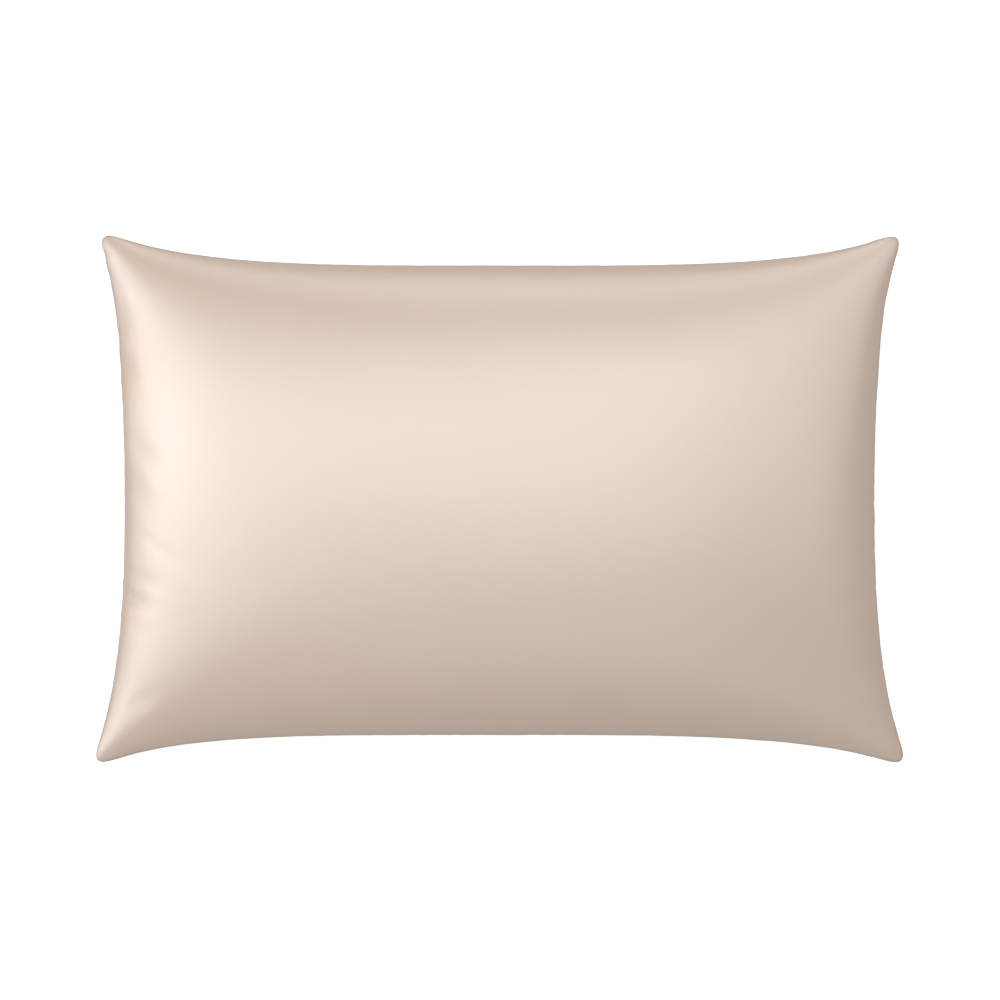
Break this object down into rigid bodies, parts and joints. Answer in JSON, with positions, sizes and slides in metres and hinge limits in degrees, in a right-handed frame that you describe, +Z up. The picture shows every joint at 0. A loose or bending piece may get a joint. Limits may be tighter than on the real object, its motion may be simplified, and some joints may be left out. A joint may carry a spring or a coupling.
{
  "type": "filled pillowcase",
  "caption": "Plain satin pillowcase filled with its pillow, sewn edge all round with pointed corners and drawn-in sides, lying on its back.",
  "frame": {"origin": "middle of the case's box, at the flat patch that it rests on", "axes": "+X along the long side, +Y towards the top edge of the front view, +Z up out of the front"},
  "size_m": [0.7606, 0.4958, 0.145],
  "materials": {
    "satin": "smooth champagne satin with a soft broad sheen"
  },
  "bodies": {
    "root": {"pillowcase": "satin"}
  },
  "joints": []
}
